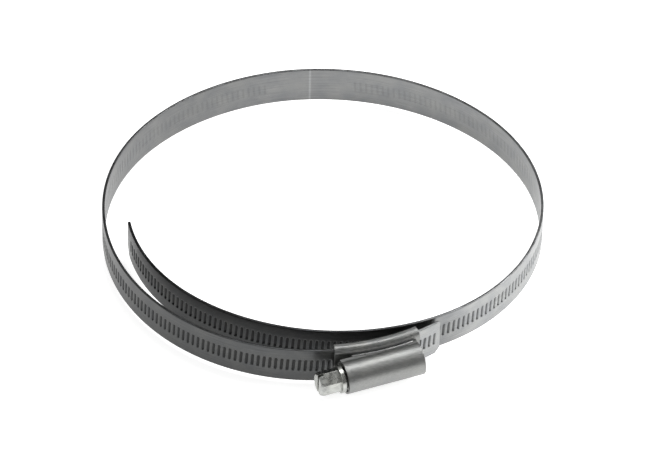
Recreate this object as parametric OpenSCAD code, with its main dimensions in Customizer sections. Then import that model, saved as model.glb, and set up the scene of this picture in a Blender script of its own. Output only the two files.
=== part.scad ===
// Worm-drive hose clamp: one threaded steel strip, a pressed housing and a hex-head worm screw.
// Units are millimetres. +Z is the axis of the hose. The origin is the centre of curvature of
// the housing's saddle, at half the strip's width. The strip is flexible, so it is built as
// short arcs that hinge on each other along its inner face.

/* [Strip] */
// Width of the strip, edge to edge
strip_w = 13; // [12:0.5:13.5]
// Thickness of the strip
strip_t = 0.9; // [0.7:0.05:0.95]
// Outer radius of the strip where it runs through the housing
saddle_r = 67; // [66.8:0.1:67.2]
// Gap between two neighbouring arcs of the strip
joint_gap = 0.12; // [0.08:0.01:0.2]

/* [Pressed thread] */
// Angle between grooves, seen from the origin, on the part that meets the worm
groove_step = 1.625; // [1.6:0.005:1.65]
// Height of a groove across the strip
groove_h = 4.8; // [4:0.1:6]
// Width of a groove along the strip
groove_w = 1.05; // [1:0.05:1.2]
// Depth of a groove below the outer face
groove_d = 0.45; // [0.4:0.05:0.5]

/* [Housing] */
// Wall thickness of the pressed housing
wall = 0.7; // [0.6:0.05:0.8]
// Length of the barrel that holds the worm
barrel_len = 26; // [25:0.5:27]
// Clearance between the strip and the housing on each face
slot_clear = 0.3; // [0.25:0.05:0.4]
// Angle covered by the shoulders that wrap over the strip's edges
shoulder_deg = 24; // [22:0.5:24.5]

/* [Screw] */
// Across-flats size of the hex head
hex_af = 7; // [6:0.5:7.5]
// Length of the hex head
hex_len = 7; // [6:0.5:8]
// Radius of the collar behind the head
collar_r = 4.6; // [4.2:0.1:4.8]
// Outer radius of the worm thread
worm_r = 4.55; // [4.5:0.01:4.58]
// Width of the driver slot
slot_w = 1.1; // [0.8:0.1:1.4]
// Depth of the driver slot
slot_depth = 1.8; // [1:0.1:2.2]

/* [Hidden] */
tip_deg = -51;                    // where the strip's outer end is
tip_span = 6.5;                   // arc of the free tip
run_span = 76.5;                  // arc that travels through the housing
worm_deg = -67.5;                 // where the worm touches the strip
worm_c = saddle_r + 4.2;          // distance of the worm's axis from the origin
worm_bore = 4.62;                 // bore of the barrel
pitch = saddle_r * groove_step * PI / 180;
u0 = -16.7;                       // head end of the barrel, along the worm's axis
u1 = u0 + barrel_len;
cav = strip_w / 2 + slot_clear;   // half height of the passage
sh_mid = -70.5;                   // middle of the shoulders
band_steel = [0.62, 0.63, 0.64];
band_dark = [0.42, 0.43, 0.45];
housing_steel = [0.66, 0.66, 0.67];
screw_zinc = [0.78, 0.77, 0.72];
$fn = 96;

// The strip as arcs from the outer tip to the inner tail: [length, outer radius]
arcs = concat(
    [[rad(tip_span) * saddle_r, saddle_r], [rad(run_span) * saddle_r, saddle_r]],
    [for (r = [67, 67]) [17.54, r]],
    [for (r = [70, 63, 64, 71, 75.5, 74]) [21, r]],
    [for (r = [78.5, 75.5, 71, 64, 58.5, 58, 59.5, 62, 66]) [20, r]],
    [[44, 74.5]],
    [for (r = [76.5, 68.5, 60]) [17.5, r]],
    [[12, 56.5], [11.8, 56]]);
n_arcs = len(arcs);

function rad(a) = a * PI / 180;
function deg(a) = a * 180 / PI;
// Where arc k starts on the outer face: [x, y, heading]; the strip runs clockwise from above
function start(k) = k == 0
    ? [saddle_r * cos(tip_deg), saddle_r * sin(tip_deg), tip_deg - 90]
    : next(start(k - 1), arcs[k - 1]);
function centre(p, r) = [p[0] + r * sin(p[2]), p[1] - r * cos(p[2])];
function next(p, a) = let (c = centre(p, a[1]), h = p[2] - deg(a[0] / a[1]))
    [c[0] - a[1] * sin(h), c[1] + a[1] * cos(h), h];
function s_at(k) = k == 0 ? 0 : s_at(k - 1) + arcs[k - 1][0];
s_mesh = rad(tip_deg - worm_deg) * saddle_r;    // a groove lies where the worm touches
s_first = s_mesh - floor((s_mesh - 1.6) / pitch) * pitch;
s_seam = 255;
s_end = s_at(n_arcs);

// One arc of the strip; cut0 and cut1 are what is taken off its ends
module strip_arc(k, cut0 = joint_gap / 2, cut1 = joint_gap / 2) {
    p = start(k); len = arcs[k][0]; r = arcs[k][1]; c = centre(p, r); s0 = s_at(k);
    a_start = p[2] + 90;
    translate([c[0], c[1], 0]) difference() {
        rotate([0, 0, a_start - deg((len - cut1) / r)])
            rotate_extrude(angle = deg((len - cut0 - cut1) / r))
                translate([r - strip_t, -strip_w / 2]) square([strip_t, strip_w]);
        for (j = [0 : floor((s_end - s_first) / pitch)]) {
            s = s_first + j * pitch;
            if (s > s0 - 0.5 && s < s0 + len + 0.5 && abs(s - s_seam) > 14 && s < s_end - 5)
                rotate([0, 0, a_start - deg((s - s0) / r)])
                    translate([r, 0, 0]) rotate([4, 0, 0])
                        cube([2 * groove_d, groove_w, groove_h], center = true);
        }
        children();
    }
}

// Outer free end, with its lower corner cut and its upper corner eased
module strip_tip() color(band_steel)
    strip_arc(0, 0) rotate([0, 0, tip_deg]) {
        translate([saddle_r, 0.1, -strip_w / 2 - 0.1]) rotate([43, 0, 0]) cube([5, 2.6, 2.6], center = true);
        translate([saddle_r, 0.1, strip_w / 2 + 0.1]) rotate([41, 0, 0]) cube([5, 1.3, 1.3], center = true);
    }

module strip_run() color(band_steel) strip_arc(1);

// Inner tail end: sloped lower corner, small step, shallow notch
module strip_tail_end() color(band_dark) {
    k = n_arcs - 1; r = arcs[k][1];
    strip_arc(k, joint_gap / 2, 0) {
        rotate([0, 0, start(k + 1)[2] + 90]) {
            translate([r, 0, -strip_w / 2]) rotate([30, 0, 0]) cube([6, 3.4, 6], center = true);
            translate([r, 0, 2.6]) cube([6, 1.4, 3.6], center = true);
        }
    }
}

// Local frame of the worm: +X along its axis away from the head, +Y towards the strip
module at_worm() rotate([0, 0, worm_deg]) translate([worm_c, 0, 0]) rotate([0, 0, 90]) children();
module rod(a, b, r) translate([a, 0, 0]) rotate([0, 90, 0]) cylinder(r = r, h = b - a);

// A ring sector about the origin with the given profile
module sector(a0, a1) rotate([0, 0, a0]) rotate_extrude(angle = a1 - a0) children();

// Cross-section of the shoulders and base, corners rounded
module saddle_profile() {
    ri = saddle_r - strip_t - slot_clear - wall; ro = saddle_r + slot_clear + wall + 0.4;
    zz = cav + wall + 0.1; roll = 2;
    translate([ri, -zz + roll]) square([ro - ri, 2 * zz - 2 * roll]);
    translate([ri, -zz + 0.6]) square([1, 2 * zz - 1.2]);
    translate([ri + 0.6, -zz]) square([ro - ri - roll - 0.6, 2 * zz]);
    for (m = [-1, 1]) {
        translate([ro - roll, m * (zz - roll)]) circle(r = roll);
        translate([ri + 0.6, m * (zz - 0.6)]) circle(r = 0.6);
    }
}

module worm_housing() color(housing_steel) difference() {
    union() {
        sector(sh_mid - shoulder_deg / 2, sh_mid + shoulder_deg / 2) saddle_profile();
        at_worm() {
            rod(u0, u1, worm_bore + wall);
            translate([u0, 0, -4.9]) cube([barrel_len, 3.4, 9.8]);
        }
        // tongue under the saddle, pressed towards the inner layer of the strip
        sector(sh_mid + shoulder_deg / 2 - 3.4, sh_mid + shoulder_deg / 2 - 0.2)
            translate([saddle_r - strip_t - slot_clear - wall - 0.7, -3]) square([1, 6]);
    }
    // passage for the strip, longer than the housing
    sector(sh_mid - shoulder_deg, sh_mid + shoulder_deg)
        translate([saddle_r - strip_t - slot_clear, -cav]) square([strip_t + 2 * slot_clear, 2 * cav]);
    at_worm() {
        rod(u0 - 1, u1 - 1.2, worm_bore);
        rod(u1 - 2, u1 + 1, 2.6);
    }
}

// Single-start left-hand thread: rings of points along the axis, the crest facing the strip at x = 0
turns = 10;
module worm_thread() {
    core = 3.75; n = 20; m = turns * 12;
    function prof(a) = let (w = a - 360 * floor(a / 360), d = min(w, 360 - w))
        d < 45 ? worm_r : d > 120 ? core : worm_r - (worm_r - core) * (d - 45) / 75;
    pts = [for (i = [0 : m]) let (x = (i / m - 0.5) * turns * pitch, crest = -360 * x / pitch)
        for (j = [0 : n - 1]) let (a = j * 360 / n, r = prof(a - crest)) [x, r * cos(a), r * sin(a)]];
    side = [for (i = [0 : m - 1], j = [0 : n - 1]) let (a = i * n + j, b = i * n + (j + 1) % n)
        each [[a, b + n, b], [a, a + n, b + n]]];
    polyhedron(points = pts, faces = concat(side, [[for (j = [0 : n - 1]) j], [for (j = [n - 1 : -1 : 0]) m * n + j]]));
}

module worm_screw() color(screw_zinc) at_worm() {
    $fn = 64;
    head1 = -18.35; head0 = head1 - hex_len;
    difference() {
        union() {
            intersection() {
                translate([head0, 0, 0]) rotate([0, 90, 0]) cylinder(r = hex_af / sqrt(3), h = hex_len + 0.3, $fn = 6);
                // eased corners on the end of the head
                translate([head0, 0, 0]) rotate([0, 90, 0])
                    cylinder(r1 = hex_af / 2 - 0.1, r2 = hex_af / 2 + 12 - 0.1, h = 12);
            }
            rod(head1, head1 + 0.4, 4);
            rod(head1 - 0.25, u0 - 0.6, collar_r);
            rod(u0 - 1, u0 + 1, 3.4);
            rod(u0 + 0.6, u0 + 2.6, worm_r);
            rod(u0 + 1, u1 - 1.45, 3.6);
            rod(u1 - 2, u1 - 0.4, 2.53);
            translate([-pitch, 0, 0]) worm_thread();
        }
        translate([head0, 0, 0]) cube([2 * slot_depth, slot_w, 12], center = true);
    }
}

module strip_left(i) color(band_steel) strip_arc(1 + i);
module strip_right(i) color(band_steel) strip_arc(9 + i);
module strip_saddle() color(band_dark) strip_arc(19);
module strip_tail(i) color(band_dark) strip_arc(19 + i);

strip_tip();
strip_run();
strip_left(1);  // strip_left_1
strip_left(2);  // strip_left_2
strip_left(3);  // strip_left_3
strip_left(4);  // strip_left_4
strip_left(5);  // strip_left_5
strip_left(6);  // strip_left_6
strip_left(7);  // strip_left_7
strip_left(8);  // strip_left_8
strip_right(1);  // strip_right_1
strip_right(2);  // strip_right_2
strip_right(3);  // strip_right_3
strip_right(4);  // strip_right_4
strip_right(5);  // strip_right_5
strip_right(6);  // strip_right_6
strip_right(7);  // strip_right_7
strip_right(8);  // strip_right_8
strip_right(9);  // strip_right_9
strip_saddle();
strip_tail(1);  // strip_tail_1
strip_tail(2);  // strip_tail_2
strip_tail(3);  // strip_tail_3
strip_tail(4);  // strip_tail_4
strip_tail_end();  // strip_tail_5
worm_housing();
worm_screw();
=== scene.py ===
import bpy, bmesh, math, random
from mathutils import Vector, Matrix


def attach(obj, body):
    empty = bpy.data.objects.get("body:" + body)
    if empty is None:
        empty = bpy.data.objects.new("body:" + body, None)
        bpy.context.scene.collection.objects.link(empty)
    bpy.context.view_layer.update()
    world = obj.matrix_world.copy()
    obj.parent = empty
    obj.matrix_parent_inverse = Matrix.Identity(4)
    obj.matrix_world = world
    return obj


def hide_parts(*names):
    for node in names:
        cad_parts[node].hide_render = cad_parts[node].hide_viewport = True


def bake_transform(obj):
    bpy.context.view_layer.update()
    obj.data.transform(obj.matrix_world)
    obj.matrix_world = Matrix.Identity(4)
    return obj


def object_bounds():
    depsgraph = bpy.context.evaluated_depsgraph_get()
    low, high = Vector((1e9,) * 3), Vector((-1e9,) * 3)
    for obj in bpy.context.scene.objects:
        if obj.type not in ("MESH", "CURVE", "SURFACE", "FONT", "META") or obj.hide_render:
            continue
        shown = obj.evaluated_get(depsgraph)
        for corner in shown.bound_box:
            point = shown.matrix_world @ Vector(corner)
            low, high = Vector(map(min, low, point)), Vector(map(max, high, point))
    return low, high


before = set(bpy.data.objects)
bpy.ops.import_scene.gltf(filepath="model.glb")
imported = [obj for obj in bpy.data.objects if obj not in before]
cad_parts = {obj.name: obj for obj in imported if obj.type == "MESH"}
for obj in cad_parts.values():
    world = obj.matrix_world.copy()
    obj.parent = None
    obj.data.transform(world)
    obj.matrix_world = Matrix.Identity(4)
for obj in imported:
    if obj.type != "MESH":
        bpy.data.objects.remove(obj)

random.seed(7)
CAD_BOX = [list(v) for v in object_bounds()]
MM = 0.001

# ---------------------------------------------------------------- strip geometry (same numbers as the CAD)
SADDLE_R = 67.0
STEP = 1.625
T = 0.9
W = 13.0
TIP_DEG, TIP_SPAN, RUN_SPAN, WORM_DEG = -51.0, 6.5, 76.5, -67.5
PITCH = SADDLE_R * math.radians(STEP)
ARCS = ([(math.radians(TIP_SPAN) * SADDLE_R, SADDLE_R), (math.radians(RUN_SPAN) * SADDLE_R, SADDLE_R)]
        + [(17.54, 67.0)] * 2
        + [(21.0, r) for r in (70, 63, 64, 71, 75.5, 74)]
        + [(20.0, r) for r in (78.5, 75.5, 71, 64, 58.5, 58, 59.5, 62, 66)]
        + [(44.0, 74.5)]
        + [(17.5, r) for r in (76.5, 68.5, 60)] + [(12.0, 56.5), (11.8, 56)])
BODIES = (["tip", "run"] + ["left_%d" % i for i in range(1, 9)] + ["right_%d" % i for i in range(1, 10)]
          + ["saddle"] + ["tail_%d" % i for i in range(1, 6)])
NODES = ["strip_" + b for b in BODIES]
starts = []
x, y, h = SADDLE_R * math.cos(math.radians(TIP_DEG)), SADDLE_R * math.sin(math.radians(TIP_DEG)), math.radians(TIP_DEG - 90)
s = 0.0
for L, R in ARCS:
    cx, cy = x + R * math.sin(h), y - R * math.cos(h)
    starts.append((s, h, R, cx, cy, L))
    h -= L / R
    x, y = cx - R * math.sin(h), cy + R * math.cos(h)
    s += L
S_END = s
S_SEAM = 255.0
S_MESH = math.radians(TIP_DEG - WORM_DEG) * SADDLE_R
S_FIRST = S_MESH - math.floor((S_MESH - 1.6) / PITCH) * PITCH


def frame_at(s):
    k = 0
    while k < len(starts) - 1 and s >= starts[k + 1][0]:
        k += 1
    s0, h0, R, cx, cy, L = starts[k]
    h = h0 - (s - s0) / R
    return h, R, cx, cy


def place(s, off, z):
    """Point at arc length s on the strip, off mm outwards from the outer face, height z; metres."""
    h, R, cx, cy = frame_at(s)
    r = R + off
    return Vector(((cx - r * math.sin(h)) * MM, (cy + r * math.cos(h)) * MM, z * MM))


def smooth(a, b, v):
    t = min(max((v - a) / (b - a), 0.0), 1.0)
    return t * t * (3 - 2 * t)


SLANT = math.tan(math.radians(4))


def groove(s, z):
    """0 on the plain face, 1 at the bottom of a pressed groove."""
    sc = s + z * SLANT
    j = round((sc - S_FIRST) / PITCH)
    c = S_FIRST + j * PITCH
    if c < 1.0 or c > S_END - 5 or abs(c - S_SEAM) < 14:
        return 0.0
    d = abs(sc - c)
    end = 2.45 - 0.35 * (d / 0.55) ** 2
    return (1 - smooth(0.30, 0.56, d)) * (1 - smooth(end - 0.38, end + 0.1, abs(z)))


# Painted light and shade along the strip by arc length s (mm): the low values on the left-front run and on the tail are
# painted shade (the tail stands in for the shade between the overlapping bands), and the high values on the tip tab and
# the right-hand run are painted reflection of the brighter side.
PAINTED_SHADING = [(0, 0.47), (12, 0.45), (27, 0.26), (45, 0.125), (100, 0.13), (150, 0.15), (200, 0.23), (255, 0.27), (300, 0.29),
        (345, 0.33), (385, 0.47), (418, 0.47), (434, 0.34), (447, 0.13), (470, 0.095), (520, 0.09), (558, 0.10)]


# Painted light and shade at arc length s, made a little lighter along the seam line.
def painted_shading(s):
    for (a, va), (b, vb) in zip(PAINTED_SHADING, PAINTED_SHADING[1:]):
        if s <= b:
            return (va + (vb - va) * smooth(a, b, s)) * (1 + 0.45 * math.exp(-((s - S_SEAM) / 0.3) ** 2))
    return PAINTED_SHADING[-1][1]


def z_limits(s):
    lo, hi = -W / 2, W / 2
    if s < 1.9:
        lo += 1.9 - s if s > 0.0 else 1.9
        lo = max(lo, -W / 2)
    if s < 0.9:
        hi -= 0.9 - math.sqrt(max(0.81 - (0.9 - s) ** 2, 0))
    e = S_END - s
    if e < 2.2:
        lo += (2.2 - e) * 1.25
    if e < 0.5:
        hi -= (0.5 - e) * 0.4
    return lo, hi


ZROWS = [6.28, 5.9, 5.0, 3.9, 3.1, 2.72, 2.5, 2.34, 2.18, 2.02, 1.85, 1.5, 1.0, 0.5, 0.0]
ZROWS = ZROWS + [-v for v in reversed(ZROWS[:-1])]
IROWS = [-6.28, -5.2, -3.4, -2.7, -2.35, -1.8, -0.9, 0.0, 0.9, 1.8, 2.35, 2.7, 3.4, 5.2, 6.28]


def section(s):
    """Closed loop of (offset, z, groove) around the strip at s."""
    lo, hi = z_limits(s)
    k = 1.0
    end = min(s, S_END - s)
    inset = 0.0
    if end < 0.12:
        inset = 0.12 - end

    def zz(v):
        return lo + (v + W / 2) / W * (hi - lo)
    seam = math.exp(-((s - S_SEAM) / 0.16) ** 2)
    pts = []
    for v in ZROWS:
        g = groove(s, v)
        pts.append((-0.42 * g - 0.07 * seam - inset, zz(v), g))
    pts += [(-0.05 - inset, zz(-6.42), 0), (-0.2 - inset * 0.5, zz(-6.5), 0), (-T + 0.2 + inset * 0.5, zz(-6.5), 0), (-T + 0.05 + inset, zz(-6.42), 0)]
    for v in IROWS:
        g = groove(s, v)
        pts.append((-T - 0.05 * g + 0.06 * seam + inset, zz(v), 0.25 * g))
    pts += [(-T + 0.05 + inset, zz(6.42), 0), (-T + 0.2 + inset * 0.5, zz(6.5), 0), (-0.2 - inset * 0.5, zz(6.5), 0), (-0.05 - inset, zz(6.42), 0)]
    return pts


def strip_mesh(name, s0, s1, material, step=PITCH / 10):
    n = max(2, int(round((s1 - s0) / step)))
    ss = [s0 + (s1 - s0) * i / n for i in range(n + 1)]
    if s0 <= 0:
        ss = [0.0, 0.06, 0.12] + [v for v in ss if v > 0.16]
    if s1 >= S_END - 1e-6:
        ss = [v for v in ss if v < S_END - 0.16] + [S_END - 0.12, S_END - 0.06, S_END]
    verts, faces, uvs, gr, rim, painted_shading_values = [], [], [], [], [], []
    m = None
    for s in ss:
        sec = section(s)
        m = len(sec)
        for off, z, g in sec:
            verts.append(place(s, off, z))
            uvs.append((s * 0.01, (z + 8) * 0.01))
            gr.append(g)
            rim.append(1.0 if abs(abs(z) - W / 2) < 0.12 or min(s, S_END - s) < 0.07 else 0.0)
            painted_shading_values.append(painted_shading(s))
    for i in range(len(ss) - 1):
        for j in range(m):
            a, b = i * m + j, i * m + (j + 1) % m
            faces.append((a, b, b + m, a + m))
    faces.append(tuple(range(m - 1, -1, -1)))
    faces.append(tuple((len(ss) - 1) * m + j for j in range(m)))
    me = bpy.data.meshes.new(name)
    me.from_pydata([tuple(v) for v in verts], [], faces)
    me.update()
    uv = me.uv_layers.new(name="along")
    for loop in me.loops:
        uv.data[loop.index].uv = uvs[loop.vertex_index]
    at = me.attributes.new("pressed", "FLOAT", "POINT")
    at.data.foreach_set("value", gr)
    at = me.attributes.new("rim", "FLOAT", "POINT")
    at.data.foreach_set("value", rim)
    # per-vertex painted light and shade along the strip, read by the strip material
    at = me.attributes.new("painted_shading", "FLOAT", "POINT")
    at.data.foreach_set("value", painted_shading_values)
    bm = bmesh.new(); bm.from_mesh(me)
    bmesh.ops.recalc_face_normals(bm, faces=bm.faces)
    for f in bm.faces:
        f.smooth = True
    for f in bm.faces:
        if len(f.verts) > 4:
            for e in f.edges:
                e.smooth = False
    bm.to_mesh(me); bm.free()
    me.materials.append(material)
    ob = bpy.data.objects.new(name, me)
    bpy.context.collection.objects.link(ob)
    return ob


# ---------------------------------------------------------------- materials
def nodes_of(name):
    mat = bpy.data.materials.new(name)
    mat.use_nodes = True
    nt = mat.node_tree
    return mat, nt, nt.nodes["Principled BSDF"]


def add(nt, kind, **kw):
    n = nt.nodes.new(kind)
    for k, v in kw.items():
        setattr(n, k, v)
    return n


def ramp(nt, src, stops):
    r = add(nt, "ShaderNodeValToRGB")
    r.color_ramp.elements[0].position = stops[0][0]
    r.color_ramp.elements[0].color = (*stops[0][1], 1)
    r.color_ramp.elements[1].position = stops[-1][0]
    r.color_ramp.elements[1].color = (*stops[-1][1], 1)
    for p, c in stops[1:-1]:
        e = r.color_ramp.elements.new(p)
        e.color = (*c, 1)
    nt.links.new(src, r.inputs["Fac"])
    return r.outputs["Color"]


def maprange(nt, src, a, b, c, d):
    m = add(nt, "ShaderNodeMapRange")
    m.inputs["From Min"].default_value = a
    m.inputs["From Max"].default_value = b
    m.inputs["To Min"].default_value = c
    m.inputs["To Max"].default_value = d
    nt.links.new(src, m.inputs["Value"])
    return m.outputs["Result"]


def mixc(nt, fac, a, b, mode="MIX"):
    m = add(nt, "ShaderNodeMix", data_type="RGBA", blend_type=mode)
    if hasattr(fac, "links"):
        nt.links.new(fac, m.inputs[0])
    else:
        m.inputs[0].default_value = fac
    for i, v in ((6, a), (7, b)):
        if hasattr(v, "links"):
            nt.links.new(v, m.inputs[i])
        else:
            m.inputs[i].default_value = (*v, 1)
    return m.outputs[2]


def steel(name, base, lines="uv", rough=(0.26, 0.44), tint=(1, 1, 1), scale=1.0, bump=0.15, pressed=False, bevel=0.0, specks=0.35):
    """Zinc-plated steel: rolling lines along the metal, cloudy plating, specks, darker edges; on the pressed strip also
    painted shade in the grooves and painted light and shade along its length.
    """
    mat, nt, bsdf = nodes_of(name)
    L = nt.links.new
    if lines == "uv":
        co = add(nt, "ShaderNodeUVMap", uv_map="along").outputs["UV"]
        stretch = (6.0, 900.0, 1)
        k = 100.0
    else:
        co = add(nt, "ShaderNodeTexCoord").outputs["Object"]
        k = 1000.0
        stretch = lines
    m1 = add(nt, "ShaderNodeMapping"); m1.inputs["Scale"].default_value = stretch; L(co, m1.inputs["Vector"])
    if lines != "uv":
        m1.inputs["Rotation"].default_value = (0, 0, math.radians(-22.5))
    brushed = add(nt, "ShaderNodeTexNoise"); brushed.inputs["Scale"].default_value = 1.0; brushed.inputs["Detail"].default_value = 6
    brushed.inputs["Roughness"].default_value = 0.65
    L(m1.outputs["Vector"], brushed.inputs["Vector"])
    cloud = add(nt, "ShaderNodeTexNoise"); cloud.inputs["Scale"].default_value = 0.18 * k * scale; cloud.inputs["Detail"].default_value = 4
    L(co, cloud.inputs["Vector"])
    fine = add(nt, "ShaderNodeTexNoise"); fine.inputs["Scale"].default_value = 3.2 * k * scale; fine.inputs["Detail"].default_value = 3
    L(co, fine.inputs["Vector"])
    speck = add(nt, "ShaderNodeTexVoronoi"); speck.inputs["Scale"].default_value = 1.1 * k * scale; L(co, speck.inputs["Vector"])
    dark = tuple(c * 0.62 for c in base); lite = tuple(min(c * 1.28, 1) for c in base)
    col = ramp(nt, brushed.outputs["Fac"], [(0.3, dark), (0.52, base), (0.72, lite)])
    cl = ramp(nt, cloud.outputs["Fac"], [(0.35, (0.84, 0.85, 0.87)), (0.65, (1.0, 1.0, 0.99))])
    col = mixc(nt, 1.0, col, cl, "MULTIPLY")
    sp = maprange(nt, speck.outputs["Distance"], 0.03, 0.09, specks, 0.0)
    col = mixc(nt, sp, col, tuple(c * 0.55 for c in base))
    if pressed:
        # multiply the colour by the painted light and shade along the strip
        painted_shading_attr = add(nt, "ShaderNodeAttribute", attribute_name="painted_shading")
        painted_shading_rgb = add(nt, "ShaderNodeCombineColor")
        for i in range(3):
            L(painted_shading_attr.outputs["Fac"], painted_shading_rgb.inputs[i])
        col = mixc(nt, 1.0, col, painted_shading_rgb.outputs["Color"], "MULTIPLY")
        # Painted shade in the pressed grooves: the colour is darkened to 0.34 at the groove bottoms.
        at = add(nt, "ShaderNodeAttribute", attribute_name="pressed")
        g = maprange(nt, at.outputs["Fac"], 0.1, 1.0, 1.0, 0.34)
        painted_groove_shade_rgb = add(nt, "ShaderNodeCombineColor")
        for i in range(3):
            L(g, painted_groove_shade_rgb.inputs[i])
        col = mixc(nt, 1.0, col, painted_groove_shade_rgb.outputs["Color"], "MULTIPLY")
        # The strip is darker along its edges and ends, patchy with the cloud noise.
        ri = add(nt, "ShaderNodeAttribute", attribute_name="rim")
        edge_darkening = add(nt, "ShaderNodeMath", operation="MULTIPLY")
        L(ri.outputs["Fac"], edge_darkening.inputs[0]); L(maprange(nt, cloud.outputs["Fac"], 0.4, 0.6, 0.25, 0.9), edge_darkening.inputs[1])
        col = mixc(nt, edge_darkening.outputs[0], col, mixc(nt, 1.0, col, (0.42, 0.42, 0.43), "MULTIPLY"))
    else:
        geo = add(nt, "ShaderNodeNewGeometry")
        wear = maprange(nt, geo.outputs["Pointiness"], 0.53, 0.62, 0.0, 0.4)
        col = mixc(nt, wear, col, tuple(min(c * 1.5, 0.9) for c in base))
    L(col, bsdf.inputs["Base Color"])
    bsdf.inputs["Metallic"].default_value = 1.0
    r = add(nt, "ShaderNodeMath", operation="ADD")
    L(maprange(nt, brushed.outputs["Fac"], 0.3, 0.7, rough[0], rough[1]), r.inputs[0])
    L(maprange(nt, fine.outputs["Fac"], 0.3, 0.7, -0.03, 0.05), r.inputs[1])
    L(r.outputs[0], bsdf.inputs["Roughness"])
    b1 = add(nt, "ShaderNodeBump"); b1.inputs["Strength"].default_value = bump; b1.inputs["Distance"].default_value = 0.00004
    L(brushed.outputs["Fac"], b1.inputs["Height"])
    b2 = add(nt, "ShaderNodeBump"); b2.inputs["Strength"].default_value = bump; b2.inputs["Distance"].default_value = 0.00006
    L(fine.outputs["Fac"], b2.inputs["Height"]); L(b1.outputs["Normal"], b2.inputs["Normal"])
    if bevel:
        bv = add(nt, "ShaderNodeBevel", samples=6)
        bv.inputs["Radius"].default_value = bevel
        L(bv.outputs["Normal"], b1.inputs["Normal"])
    L(b2.outputs["Normal"], bsdf.inputs["Normal"])
    return mat


M_STRIP = steel("strip_zinc", (0.80, 0.81, 0.805), pressed=True, bump=0.25)
M_TAIL = M_STRIP
M_HOUSING = steel("housing_zinc", (0.235, 0.237, 0.231), lines=(110.0, 3200.0, 3200.0), rough=(0.3, 0.5), bump=0.7, bevel=0.0002)
M_SCREW = steel("screw_zinc", (0.40, 0.405, 0.385), lines=(500.0, 500.0, 500.0), rough=(0.22, 0.34), bump=0.05, bevel=0.0002, specks=0.06)

# ---------------------------------------------------------------- strip pieces, each one smooth mesh that hides the CAD strip segments it covers


def land(s):
    """Nearest plain land between two grooves."""
    j = round((s - S_FIRST) / PITCH - 0.5)
    return S_FIRST + (j + 0.5) * PITCH


HINGE = {b: starts[BODIES.index(b)][0] for b in BODIES}
PIECES = [
    ("strip_end", 0.0, land(40), "run", None, 0, 0, 0, ["tip"]),
    ("strip_left_front", land(40), land(140), "run", "left", HINGE["left_1"], 5, 16, ["run", "left_1", "left_2"]),
    ("strip_left_back", land(140), 257.6, "left", "back", HINGE["left_8"], 19, 19, ["left_%d" % i for i in range(3, 9)]),
    ("strip_back", 257.6, land(358), "back", "right", HINGE["right_2"], 19, 24, ["right_%d" % i for i in range(1, 6)]),
    ("strip_right", land(358), land(462), "right", "saddle", HINGE["saddle"], 16, 12, ["right_%d" % i for i in range(6, 10)] + ["saddle"]),
    ("strip_tail", land(462), S_END, "saddle", "tail", HINGE["tail_1"], 12, 16, ["tail_%d" % i for i in range(1, 6)]),
]
for name, a, b, body0, body1, sh, back, ahead, nodes in PIECES:
    ob = strip_mesh(name, a, b, M_STRIP)
    if body1 is None:
        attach(ob, body0)
    else:
        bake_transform(ob)
    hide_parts(*["strip_" + n for n in nodes])

# ---------------------------------------------------------------- fold between the housing's shoulder and its barrel
WC, RO, U0, U1 = SADDLE_R + 4.2, SADDLE_R + 0.3 + 0.7 + 0.4, -16.7, 9.3


def worm(u, y, z):
    """Point in the worm's frame (+u away from the head, +y towards the strip), in metres."""
    a = math.radians(WORM_DEG)
    n, t = Vector((math.cos(a), math.sin(a), 0)), Vector((-math.sin(a), math.cos(a), 0))
    return (n * (WC - y) + t * u + Vector((0, 0, z))) * MM


def fold(name, side):
    n, k = 48, 12
    verts, faces = [], []
    for i in range(n + 1):
        f = i / n
        u = -12.6 + (U1 - 0.9 + 12.6) * f
        y = WC - math.sqrt(RO * RO - u * u) - 0.05
        r = 0.34 * math.sqrt(max(1 - (2 * f - 1) ** 16, 0.02)) * (1 + 0.04 * math.sin(u * 1.7))
        for j in range(k):
            a = 2 * math.pi * j / k
            verts.append(worm(u, y + r * math.cos(a), side * (4.72 + r * math.sin(a))))
    for i in range(n):
        for j in range(k):
            a, b = i * k + j, i * k + (j + 1) % k
            faces.append((a, b, b + k, a + k))
    faces.append(tuple(range(k - 1, -1, -1)))
    faces.append(tuple(n * k + j for j in range(k)))
    me = bpy.data.meshes.new(name)
    me.from_pydata([tuple(v) for v in verts], [], faces)
    bm = bmesh.new(); bm.from_mesh(me)
    bmesh.ops.recalc_face_normals(bm, faces=bm.faces)
    for f in bm.faces:
        f.smooth = len(f.verts) == 4
    bm.to_mesh(me); bm.free()
    me.materials.append(M_FOLD_HIGHLIGHT)
    ob = bpy.data.objects.new(name, me)
    bpy.context.collection.objects.link(ob)
    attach(ob, "housing")


# The fold beads get a much lighter zinc than the housing (0.62 against 0.235) as a painted highlight along the crease.
M_FOLD_HIGHLIGHT = steel("housing_fold", (0.62, 0.62, 0.61), lines=(150.0, 4200.0, 4200.0), rough=(0.24, 0.36), bump=0.15)
fold("housing_fold_top", 1)
fold("housing_fold_bottom", -1)

for name, mat in (("worm_housing", M_HOUSING), ("worm_screw", M_SCREW)):
    ob = bpy.data.objects[name]
    for sl in ob.material_slots:
        sl.material = mat
    if not ob.material_slots:
        ob.data.materials.append(mat)

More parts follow.
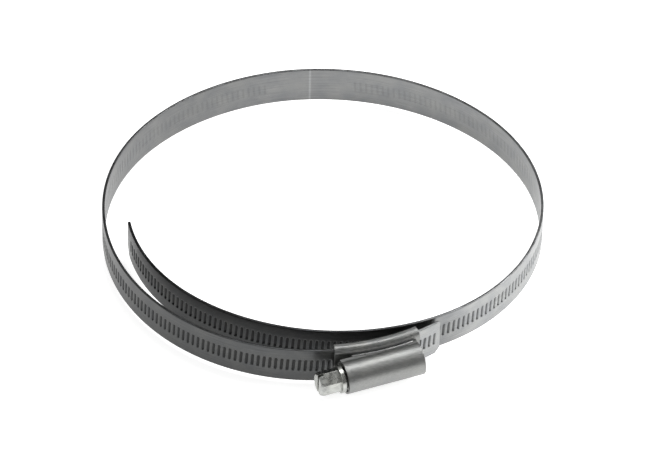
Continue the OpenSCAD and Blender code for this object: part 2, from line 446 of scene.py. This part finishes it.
# ---------------------------------------------------------------- floor, light, camera
lowest = CAD_BOX[0][2]
me = bpy.data.meshes.new("floor")
me.from_pydata([(-3, -3, lowest - 0.0002), (3, -3, lowest - 0.0002), (3, 3, lowest - 0.0002), (-3, 3, lowest - 0.0002)], [], [(0, 1, 2, 3)])
floor = bpy.data.objects.new("floor", me)
bpy.context.collection.objects.link(floor)
fm, nt, bsdf = nodes_of("floor_white")
bsdf.inputs["Base Color"].default_value = (0.86, 0.86, 0.86, 1)
bsdf.inputs["Roughness"].default_value = 0.9
bsdf.inputs["Emission Color"].default_value = (1, 1, 1, 1)
bsdf.inputs["Emission Strength"].default_value = 0.75
me.materials.append(fm)

world = bpy.data.worlds.new("studio")
bpy.context.scene.world = world
world.use_nodes = True
world.node_tree.nodes["Background"].inputs["Color"].default_value = (0.96, 0.96, 0.955, 1)
world.node_tree.nodes["Background"].inputs["Strength"].default_value = 0.25


def area(name, loc, size, energy, aim=(0, 0, 0), color=(1, 1, 1)):
    ld = bpy.data.lights.new(name, "AREA")
    ld.shape = "RECTANGLE"; ld.size = size[0]; ld.size_y = size[1]; ld.energy = energy; ld.color = color
    ob = bpy.data.objects.new(name, ld)
    ob.location = loc
    ob.rotation_euler = (Vector(aim) - Vector(loc)).to_track_quat("-Z", "Y").to_euler()
    bpy.context.collection.objects.link(ob)


area("overhead", (0.1, 0.25, 0.9), (0.5, 0.35), 3.2)
area("right", (0.55, 0.10, 0.45), (0.35, 0.35), 3.0, aim=(0.08, 0, 0))
area("front", (-0.35, -0.9, 0.9), (0.6, 0.3), 2.0)

E, D, ROLL, PX = math.radians(42.76), 2.173, math.radians(1.25), 3.0743 * 1.008 * 2173.0
target = Vector((4.18, -4.83, 0)) * MM
cam = bpy.data.cameras.new("camera")
cam.sensor_width = 36
cam.lens = PX * 36 / 645
cam.clip_start = 0.05
cam.clip_end = 20
co = bpy.data.objects.new("camera", cam)
co.location = target + Vector((0, -math.cos(E), math.sin(E))) * D
co.rotation_euler = (Matrix.Rotation(math.pi / 2 - E, 4, "X") @ Matrix.Rotation(ROLL, 4, "Z")).to_euler()
bpy.context.collection.objects.link(co)
bpy.context.scene.camera = co
bpy.context.scene.view_settings.view_transform = "Standard"
